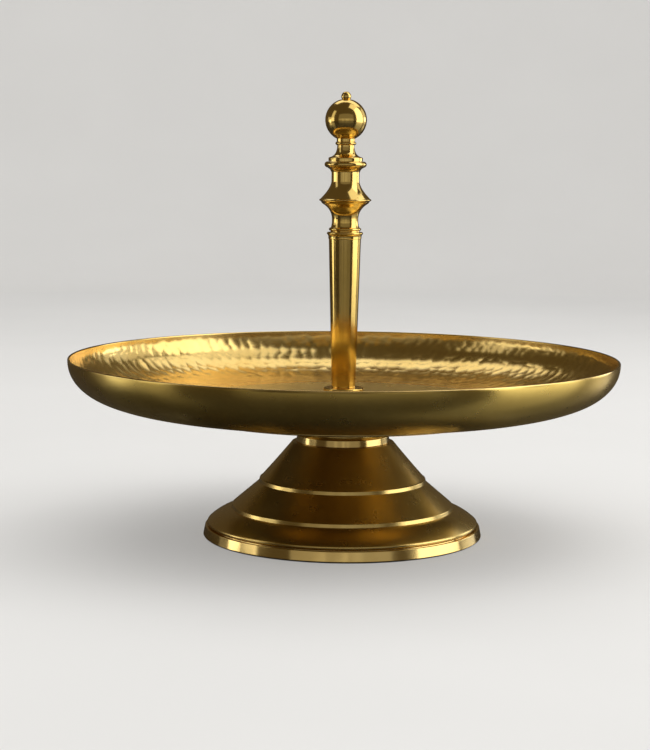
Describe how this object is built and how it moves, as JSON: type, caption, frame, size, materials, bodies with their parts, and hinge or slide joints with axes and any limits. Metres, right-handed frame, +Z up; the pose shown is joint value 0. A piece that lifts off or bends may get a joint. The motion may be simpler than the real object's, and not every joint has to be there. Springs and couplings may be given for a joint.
{
  "type": "cake stand",
  "caption": "Footed brass cake stand: shallow hammered round tray on a stepped bell foot, with a turned column and ball finial rising through its middle.",
  "frame": {"origin": "where the stand's turning axis meets the table, at the underside of the felt", "axes": "+Z up along the turning axis of the foot, tray and column; X and Y are level and interchangeable, because every visible piece is round"},
  "size_m": [0.4, 0.4, 0.3232],
  "materials": {
    "polished_brass": "polished, clear lacquered",
    "foot_brass": "polished spun brass, slightly toned",
    "tray_brass": "hammered inside, satin outside",
    "column_brass": "turned and polished",
    "turned_brass": "as turned, not polished",
    "zinc_steel": "zinc plated",
    "fibre": "vulcanised fibre",
    "felt": "wool felt"
  },
  "bodies": {
    "base": {"base_felt": "felt", "base_ring": "polished_brass", "foot_shell": "foot_brass", "foot_collar": "polished_brass", "foot_neck": "polished_brass", "foot_washer": "zinc_steel", "lock_washer": "zinc_steel", "anchor_bolt": "zinc_steel", "tray_gasket": "fibre", "tray_disc": "tray_brass", "tray": "tray_brass"},
    "column_seat": {"column_washer": "fibre"},
    "column": {"column_base": "column_brass", "stem": "column_brass", "stem_insert": "turned_brass", "stem_plug": "turned_brass", "column_rod": "zinc_steel", "stem_collar": "column_brass", "stem_bead": "column_brass", "knop": "column_brass", "bead_ring": "column_brass"},
    "finial_seat": {"finial_washer": "fibre"},
    "finial": {"finial": "column_brass"}
  },
  "joints": [
    {"name": "column_rise", "type": "slide", "parent": "base", "child": "column_seat", "axis": [0, 0, 1], "range_m": [0, 0.02125]},
    {"name": "column_turn", "type": "hinge", "parent": "column_seat", "child": "column", "pos_m": [0, 0, 0.1], "axis": [0, 0, 1], "range_deg": [0, 6120]},
    {"name": "finial_rise", "type": "slide", "parent": "column", "child": "finial_seat", "axis": [0, 0, 1], "range_m": [0, 0.019]},
    {"name": "finial_turn", "type": "hinge", "parent": "finial_seat", "child": "finial", "pos_m": [0, 0, 0.2734], "axis": [0, 0, 1], "range_deg": [0, 6840]}
  ],
  "couplings": [
    {"joint": "column_turn", "follows": "column_rise", "rad_per_m": 5026.5},
    {"joint": "finial_turn", "follows": "finial_rise", "rad_per_m": 6283.2}
  ]
}
